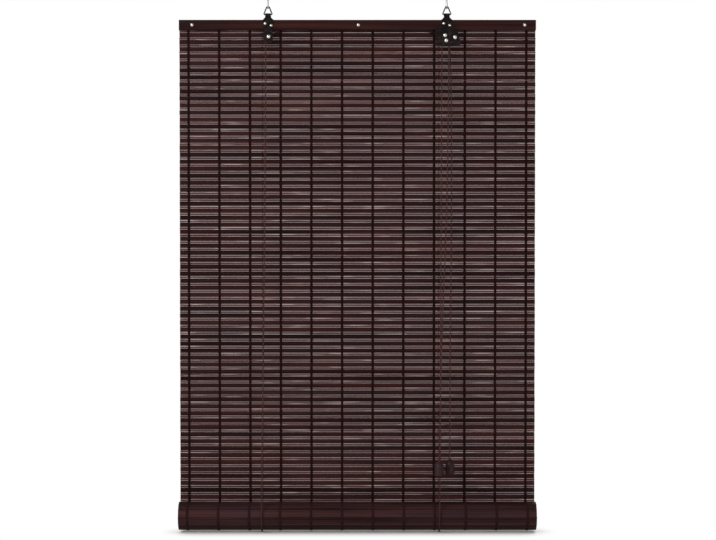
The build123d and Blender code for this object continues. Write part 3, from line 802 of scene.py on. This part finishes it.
def twined(name, first_row, rows, material, lead_in, *stages):
    """Piece with the warp threads of a stretch of the mat, put through any further stages."""
    values = {
        "Count": WARPS,
        "Pitch": WARP_PITCH,
        "First": -BLIND_WIDTH / 2 + WARP_MARGIN,
        "Half width": THREAD_HALF_WIDTH,
        "Flatness": THREAD_FLATNESS,
        "Material": material,
    }
    piece = link_object(name, thread_path(name, first_row, rows, lead_in))
    return smooth(grown(piece, (built_once("Twined threads", thread_tree), values), *stages), ROUND_ANGLE)


def winding(material):
    """Last stage of each piece on the roll, which winds it up."""
    values = {
        "Start height": MAT_BOTTOM,
        "Mat depth": MAT_Y,
        "Outer radius": ROLL_RADIUS - SLAT_THICKNESS / 2,
        "Turn pitch": TURN_PITCH,
        "Centre depth": ROLL_Y,
        "Centre height": ROLL_Z,
        "Material": material,
    }
    return built_once("Wound up", wound_tree), values


def squashed_mat(piece):
    """Gives a piece of the lower mat a mesh of its own."""
    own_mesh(piece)


class BLIND_OT_hanging_mat(bpy.types.Operator):
    """Slats and reeds that hang below the rail"""

    bl_idname = "blind.hanging_mat"
    bl_label = "Hanging mat"

    def execute(self, context):
        mat = context.scene.blind_mat
        slat = bamboo_material("Slat bamboo", "slat")
        # Hanging reeds: paler stain and painted light on their rims, for light coming through the mat.
        reed = bamboo_material("Reed bamboo", "reed", mat.reed_rim_light, mat.reed_glint)
        moving = ROWS - STILL_ROWS
        for name, first, count, seed in (("still", 0, STILL_ROWS, 1), ("moving", STILL_ROWS, moving, 2)):
            slats = woven(f"slats_{name}", "slat", first, count, slat, seed)
            reeds = woven(f"reeds_{name}", "reed", first, count, reed, seed)
            for piece, node, slot in ((slats, "slat_sheet", "slat_bamboo"), (reeds, "reeds", "reed_bamboo")):
                smooth(piece)
                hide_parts(node)
                if name == "moving":
                    squashed_mat(piece)
                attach(piece, "head")
        section = slat_section(RAIL_TOP - RAIL_BOTTOM - TOP_SLAT_CLEARANCE, 0.0)
        top = link_object("top_slat", bar_mesh("top_slat", section))
        for vertex in top.data.vertices:
            vertex.co.y += MAT_Y
            vertex.co.z += (RAIL_TOP + RAIL_BOTTOM) / 2
        top.data.materials.append(slat)
        smooth(top)
        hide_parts("slat_sheet")
        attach(top, "head")
        return {"FINISHED"}


class BLIND_OT_warp_threads(bpy.types.Operator):
    """Threads that bind slats and reeds"""

    bl_idname = "blind.warp_threads"
    bl_label = "Warp threads"

    def execute(self, context):
        thread = strand_material("Warp thread", context.scene.blind_mat.thread, THREAD_LAY)
        still = twined("threads_still", 0, STILL_ROWS, thread, THREAD_LEAD_IN)
        moving = twined("threads_moving", STILL_ROWS, ROWS - STILL_ROWS, thread, 0.0)
        for piece in (still, moving):
            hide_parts(*WARP_NODES)
        squashed_mat(moving)
        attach(still, "head")
        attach(moving, "head")
        return {"FINISHED"}


class BLIND_OT_roll(bpy.types.Operator):
    """Rolled part of the mat on its rod"""

    bl_idname = "blind.roll"
    bl_label = "Roll"

    def execute(self, context):
        mat = context.scene.blind_mat
        hardware = context.scene.blind_hardware
        # Paler copy of the bamboo stain for the roll: painted light.
        slat = bamboo_material("Rolled slat", "rolled")
        reed = bamboo_material("Rolled reed", "rolled")
        thread = strand_material("Rolled thread", mat.rolled_thread, THREAD_LAY)
        slats = smooth(woven("rolled_slats", "slat", ROWS, ROLLED_ROWS, slat, 3, winding(slat)))
        reeds = smooth(woven("rolled_reeds", "reed", ROWS, ROLLED_ROWS, reed, 3, winding(reed)))
        threads = twined("rolled_threads", ROWS, ROLLED_ROWS, thread, 0.0, winding(thread))
        for piece, slot in ((slats, "slat_bamboo"), (reeds, "reed_bamboo"), (threads, "thread")):
            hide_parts("rolled_mat")
            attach(piece, "roll")
        rod = grain_material(
            "Rod wood", hardware.rail_dark, hardware.rail_light, (8, 300, 300), (8, 60, 60), gloss=0.55
        )
        dress(rod, "bottom_rod")
        return {"FINISHED"}


class BLIND_OT_head_rail(bpy.types.Operator):
    """Stained battens of the head rail"""

    bl_idname = "blind.head_rail"
    bl_label = "Head rail"

    def execute(self, context):
        hardware = context.scene.blind_hardware
        wood = grain_material(
            "Rail wood", hardware.rail_dark, hardware.rail_light, (2.4, 260, 260), (4, 30, 120), gloss=0.4
        )
        dress(wood, "front_batten", "rear_batten")
        return {"FINISHED"}


class BLIND_OT_brackets(bpy.types.Operator):
    """Lacquered brackets, lock and wheels, and all the bright nails and rivets"""

    bl_idname = "blind.brackets"
    bl_label = "Brackets and lock"

    def execute(self, context):
        hardware = context.scene.blind_hardware
        steel = coat_material("Black lacquered steel", hardware.steel, (0.046, 0.034, 0.030), 0.8, 0.36, 0.0)
        nickel = coat_material("Nickel plate", hardware.nickel, (0.4, 0.37, 0.33), 0.35, 0.16, 1.0)
        cam = coat_material("Cam plastic", (0.012, 0.009, 0.008), (0.03, 0.025, 0.022), 0.4, 0.45, 0.0)
        wheel = coat_material("Wheel plastic", (0.02, 0.02, 0.02), (0.06, 0.06, 0.06), 0.4, 0.5, 0.0)
        dress(steel, "pulley_bracket", "lock_bracket", "lock_front_plate")
        dress(nickel, "bracket_nails", "pulley_axle", "lock_axles", "rail_rivets")
        dress(cam, "pinch_cam")
        dress(wheel, "left_pulley", "lock_rear_sheave", "lock_front_sheave", "pinch_post")
        return {"FINISHED"}


class BLIND_OT_hooks(bpy.types.Operator):
    """Zinc plated ceiling hooks and rings"""

    bl_idname = "blind.hooks"
    bl_label = "Hooks and rings"

    def execute(self, context):
        hardware = context.scene.blind_hardware
        wire = coat_material("Zinc wire", hardware.wire, (0.4, 0.39, 0.37), 0.4, 0.34, 1.0)
        ring = coat_material("Grey ring wire", hardware.ring, (0.05, 0.05, 0.05), 0.5, 0.38, 1.0)
        dress(wire, "hook_left", "hook_right")
        dress(ring, "ring_left", "ring_right")
        return {"FINISHED"}


# Cord routes, in millimetres, as in the part's source
LOOP_REACH = 26.15
LOOP_SIDE = 10.83
LOOP_Y = -13.19
LOOP_Z = -879.08
LEFT_X = -160.0
RIGHT_X = 137.4


def loop_route(x):
    """Half a turn under the roll, from the front to the back."""
    return [
        (x, LOOP_Y - LOOP_REACH, LOOP_Z),
        (x, LOOP_Y - LOOP_REACH, LOOP_Z - LOOP_SIDE),
        (x, LOOP_Y - LOOP_SIDE, LOOP_Z - LOOP_REACH),
        (x, LOOP_Y + LOOP_SIDE, LOOP_Z - LOOP_REACH),
        (x, LOOP_Y + LOOP_REACH, LOOP_Z - LOOP_SIDE),
        (x, LOOP_Y + LOOP_REACH, LOOP_Z),
    ]


def rear_route(x):
    """Straight up the back of the mat to the rear batten."""
    return [(x, 12.96, -878.78), (x, 13.1, -466.0), (x, 14.41, -53.5)]


LIFT_RUNS = {
    "left_front_cord": [
        (-154.1, -0.54, -74.8), (-153.6, -1.1, -87.0), (-155.4, -17.0, -433.0),
        (-158.6, -31.7, -720.0), (-160.0, -38.8, -866.8), (-160.0, -39.34, -878.78),
    ],
    "right_front_cord": [
        (142.0, -3.74, -72.9), (141.7, -4.3, -85.0), (140.2, -16.5, -350.0),
        (139.2, -27.0, -600.0), (137.4, -38.8, -866.8), (137.4, -39.34, -878.78),
    ],
    "left_rear_cord": rear_route(LEFT_X),
    "right_rear_cord": rear_route(RIGHT_X),
}
PULL_RUNS = {
    "left_pull_cord": [
        (152.0, -3.74, -73.9), (152.0, -3.74, -75.9), (152.95, -3.74, -81.2), (153.4, -4.5, -94.0),
        (150.6, -18.0, -332.0), (146.6, -25.0, -441.0), (140.4, -33.6, -585.0), (137.2, -42.0, -736.0),
        (136.0, -46.0, -777.2), (136.0, -46.0, -788.7),
    ],
    "right_pull_cord": [
        (152.0, -0.54, -73.9), (152.0, -0.54, -75.9), (152.95, -0.54, -81.2), (157.2, -1.2, -110.0),
        (158.4, -8.5, -332.0), (155.8, -16.0, -570.0), (154.8, -24.0, -777.2), (154.8, -24.0, -788.7),
    ],
}
CROSS_RUN = [
    (-154.1, -0.54, -74.6), (-154.1, -0.54, -72.4), (-151.2, -0.54, -69.5), (-139.1, -0.54, -69.5),
    (-117.1, 5.86, -64.5), (103.0, 5.86, -64.5),
    (125.0, -0.54, -67.6), (149.1, -0.54, -67.6), (152.0, -0.54, -70.5), (152.0, -0.54, -73.6),
]


def cord_piece(name, route, material):
    """Round cord on a smooth line through its route; returns the piece and the line's points."""
    curve = bpy.data.curves.new(name, "CURVE")
    curve.dimensions = "3D"
    curve.resolution_u = 16
    spline = curve.splines.new("NURBS")
    spline.points.add(len(route) - 1)
    for point, place in zip(spline.points, route):
        point.co = (*(number * MM for number in place), 1.0)
    spline.order_u = 3
    spline.use_endpoint_u = True
    holder = link_object(f"{name}_line", curve)
    path = [vertex.co.copy() for vertex in evaluated_mesh(holder).vertices]
    curve.bevel_depth = bpy.context.scene.blind_hardware.cord_diameter / 2
    curve.bevel_resolution = 2
    curve.use_fill_caps = True
    tube = evaluated_mesh(holder)
    bpy.data.objects.remove(holder)
    tube.materials.clear()
    tube.materials.append(material)
    return smooth(link_object(name, tube), ROUND_ANGLE), path


class BLIND_OT_lift_cords(bpy.types.Operator):
    """Cords that run down the front, under the roll and up the back"""

    bl_idname = "blind.lift_cords"
    bl_label = "Lift cords"

    def execute(self, context):
        hardware = context.scene.blind_hardware
        plain = strand_material("Braided cord", hardware.cord, CORD_LAY)
        # Painted shade: the cord under the rail and round the lock gets the darker cord colour for the shade
        # there.
        shaded = strand_material("Shaded cord", hardware.shaded_cord, CORD_LAY)
        runs = [(name, route, "head", plain) for name, route in LIFT_RUNS.items()]
        runs.append(("left_cord_loop", loop_route(LEFT_X), "carriage", plain))
        runs.append(("right_cord_loop", loop_route(RIGHT_X), "carriage", plain))
        runs.append(("cross_cord", CROSS_RUN, "head", shaded))
        for name, route, body, material in runs:
            piece, path = cord_piece(f"{name}_braid", route, material)
            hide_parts(name)
            if name in LIFT_RUNS:
                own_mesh(piece)
            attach(piece, body)
        dress(shaded, "lock_wrap_cord")
        return {"FINISHED"}


class BLIND_OT_pull_cords(bpy.types.Operator):
    """Cords that hang from the lock to the tassels"""

    bl_idname = "blind.pull_cords"
    bl_label = "Pull cords"

    def execute(self, context):
        material = strand_material("Braided cord", context.scene.blind_hardware.cord, CORD_LAY)
        for name, body in (("left_pull_cord", "tassel_a"), ("right_pull_cord", "tassel_b")):
            route = PULL_RUNS[name]
            piece, path = cord_piece(f"{name}_braid", route, material)
            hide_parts(name)
            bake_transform(piece)
        return {"FINISHED"}


# Tassels, in millimetres: radius and height below the top, from the cord's hole outwards and down
TASSEL_PROFILE = [
    (0.0, -6.0),
    (1.15, -6.0),
    (1.15, -0.3),
    (1.5, 0.0),
    (2.15, 0.0),
    (2.5, -0.35),
    (2.5, -1.0),
    (2.75, -1.35),
    (3.7, -2.1),
    (4.7, -3.1),
    (5.45, -4.2),
    (6.1, -5.5),
    (6.65, -7.0),
    (7.0, -8.6),
    (7.2, -10.4),
    (7.35, -12.5),
    (7.45, -15.0),
    (7.55, -17.5),
    (7.7, -19.6),
    (7.85, -20.9),
    (7.7, -21.2),
    (7.95, -21.5),
    (8.0, -22.4),
    (7.95, -23.6),
    (7.6, -24.35),
    (7.1, -24.6),
    (5.0, -24.5),
    (3.2, -23.9),
    (0.0, -23.6),
]
TASSEL_TOP = -783.0
TASSEL_SIDES = 48


def lathe(name, profile, place):
    """Turned piece about a vertical line, from radius and height points."""
    shell = bmesh.new()
    rings = []
    for radius, height in profile:
        z = place[2] + height * MM
        if radius == 0.0:
            rings.append([shell.verts.new((place[0], place[1], z))])
            continue
        ring = []
        for side in range(TASSEL_SIDES):
            turn = math.tau * side / TASSEL_SIDES
            x = place[0] + radius * MM * math.cos(turn)
            y = place[1] + radius * MM * math.sin(turn)
            ring.append(shell.verts.new((x, y, z)))
        rings.append(ring)
    for upper, lower in zip(rings, rings[1:]):
        for side in range(TASSEL_SIDES):
            corners = [upper[side % len(upper)], upper[(side + 1) % len(upper)]]
            corners += [lower[(side + 1) % len(lower)], lower[side % len(lower)]]
            shell.faces.new(list(dict.fromkeys(corners)))
    bmesh.ops.recalc_face_normals(shell, faces=shell.faces)
    return mesh_from(shell, name)


class BLIND_OT_tassels(bpy.types.Operator):
    """Turned wooden bells on the pull cords"""

    bl_idname = "blind.tassels"
    bl_label = "Tassels"

    def execute(self, context):
        hardware = context.scene.blind_hardware
        wood = grain_material(
            "Tassel wood",
            hardware.tassel_dark,
            hardware.tassel_light,
            scale=(300, 300, 40),
            patches=(70, 70, 70),
            gloss=0.35,
            specular=0.12,
        )
        for name, body, cord in (
            ("left_tassel", "tassel_a", "left_pull_cord"),
            ("right_tassel", "tassel_b", "right_pull_cord"),
        ):
            x, y, _ = PULL_RUNS[cord][-1]
            bell = lathe(f"{name}_bell", TASSEL_PROFILE, (x * MM, y * MM, TASSEL_TOP * MM))
            piece = link_object(f"{name}_bell", bell)
            piece.data.materials.append(wood)
            smooth(piece, TURNED_ANGLE)
            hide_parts(name)
            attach(piece, body)
        return {"FINISHED"}


# Stage, in metres; the lens and its sensor are in millimetres
FLOOR_Z = -0.9066
FLOOR_SIZE = 8.0
FLOOR_SHADE = (0.88, 0.86, 0.83, 1)
SHADOW_REACH = 0.048
LAMP_AIM = Vector((0.0, 0.0, -0.45))
SENSOR_WIDTH = 36.0
LENS = 92.6
CAMERA_X = 0.001
CAMERA_Z = -0.390


def seen_by_camera(tree):
    """One on rays from the camera, straight or through something clear, and nought on others."""
    rays = tree.nodes.new("ShaderNodeLightPath").outputs
    return maths(tree, "MAXIMUM", rays["Is Camera Ray"], rays["Is Transmission Ray"])


def floor_material():
    """White to the camera, with a soft shadow where something is near."""
    material = bpy.data.materials.new("Pale floor")
    material.use_nodes = True
    tree = material.node_tree
    tree.nodes.clear()
    shade = add_step(tree, "ShaderNodeBsdfDiffuse", {"Color": FLOOR_SHADE})
    glow = add_step(tree, "ShaderNodeEmission", {"Strength": 1.0})
    near = add_node(tree, "ShaderNodeAmbientOcclusion", {"Distance": SHADOW_REACH}).outputs["AO"]
    glare = maths(tree, "MULTIPLY", seen_by_camera(tree), remap(tree, near, 0.32, 0.93))
    blend = add_step(tree, "ShaderNodeMixShader", {0: glare, 1: shade, 2: glow})
    add_node(tree, "ShaderNodeOutputMaterial", {"Surface": blend})
    return material


def make_floor():
    """Wide floor just under the roll."""
    plane = bmesh.new()
    bmesh.ops.create_grid(plane, x_segments=1, y_segments=1, size=FLOOR_SIZE)
    floor = link_object("floor", mesh_from(plane, "floor"))
    for vertex in floor.data.vertices:
        vertex.co.z = FLOOR_Z
    floor.data.materials.append(floor_material())


def make_world(scene, strength):
    """White all round to the camera, and a softer light on the blind."""
    scene.world = bpy.data.worlds.new("White room")
    scene.world.use_nodes = True
    tree = scene.world.node_tree
    sky = tree.nodes["Background"]
    sky.inputs["Color"].default_value = (1, 1, 1, 1)
    feed(tree, sky.inputs["Strength"], remap(tree, seen_by_camera(tree), 0.0, 1.0, strength, 1.0))


def make_lamp(name, place, size, power):
    """Square lamp that points at the middle of the blind."""
    lamp = bpy.data.lights.new(name, "AREA")
    lamp.energy = power
    lamp.size = size
    holder = link_object(name, lamp)
    holder.location = place
    holder.rotation_euler = (LAMP_AIM - Vector(place)).to_track_quat("-Z", "Y").to_euler()


def make_camera(scene, distance, pitch):
    """Camera in front of the blind, looking slightly down."""
    camera = bpy.data.cameras.new("photo_camera")
    camera.sensor_width = SENSOR_WIDTH
    camera.lens = LENS
    scene.camera = link_object("photo_camera", camera)
    scene.camera.location = (CAMERA_X, -distance, CAMERA_Z)
    scene.camera.rotation_euler = (math.radians(90) - pitch, 0.0, 0.0)


class BLIND_OT_stage(bpy.types.Operator):
    """Floor, light and camera"""

    bl_idname = "blind.stage"
    bl_label = "Stage"

    def execute(self, context):
        scene = context.scene
        stage = scene.blind_stage
        scene.view_settings.view_transform = "Standard"
        make_floor()
        make_world(scene, stage.sky)
        make_lamp("key_lamp", (-2.0, -2.5, 0.9), 1.3, stage.key_power)
        make_lamp("fill_lamp", (1.9, -2.4, 0.1), 2.0, stage.fill_power)
        make_lamp("back_lamp", (0.9, 2.8, 0.3), 2.0, stage.back_power)
        make_camera(scene, stage.distance, stage.pitch)
        return {"FINISHED"}


class BLIND_PT_pieces(bpy.types.Panel):
    """Lists the pieces of the blind"""

    bl_label = "Bamboo blind"
    bl_idname = "BLIND_PT_pieces"
    bl_space_type = "VIEW_3D"
    bl_region_type = "UI"
    bl_category = "Blind"

    def draw(self, context):
        for operator in OPERATORS:
            self.layout.operator(operator.bl_idname)
        for group in (context.scene.blind_mat, context.scene.blind_hardware, context.scene.blind_stage):
            for name in group.bl_rna.properties.keys():
                if name not in {"rna_type", "name"}:
                    self.layout.prop(group, name)


OPERATORS = (
    BLIND_OT_stage,
    BLIND_OT_lift_cords,
    BLIND_OT_pull_cords,
    BLIND_OT_tassels,
    BLIND_OT_hanging_mat,
    BLIND_OT_warp_threads,
    BLIND_OT_roll,
    BLIND_OT_head_rail,
    BLIND_OT_brackets,
    BLIND_OT_hooks,
)
SETTINGS = (BlindMat, BlindHardware, BlindStage)


def register():
    """Adds settings, operators and the panel."""
    for made in SETTINGS + OPERATORS + (BLIND_PT_pieces,):
        bpy.utils.register_class(made)
    bpy.types.Scene.blind_mat = bpy.props.PointerProperty(type=BlindMat)
    bpy.types.Scene.blind_hardware = bpy.props.PointerProperty(type=BlindHardware)
    bpy.types.Scene.blind_stage = bpy.props.PointerProperty(type=BlindStage)


def unregister():
    """Takes them away again."""
    del bpy.types.Scene.blind_stage
    del bpy.types.Scene.blind_hardware
    del bpy.types.Scene.blind_mat
    for made in reversed(SETTINGS + OPERATORS + (BLIND_PT_pieces,)):
        bpy.utils.unregister_class(made)


def main():
    """Makes every piece."""
    register()
    bpy.ops.blind.stage()
    bpy.ops.blind.lift_cords()
    bpy.ops.blind.pull_cords()
    bpy.ops.blind.tassels()
    bpy.ops.blind.hanging_mat()
    bpy.ops.blind.warp_threads()
    bpy.ops.blind.roll()
    bpy.ops.blind.head_rail()
    bpy.ops.blind.brackets()
    bpy.ops.blind.hooks()


if __name__ == "__main__":
    main()
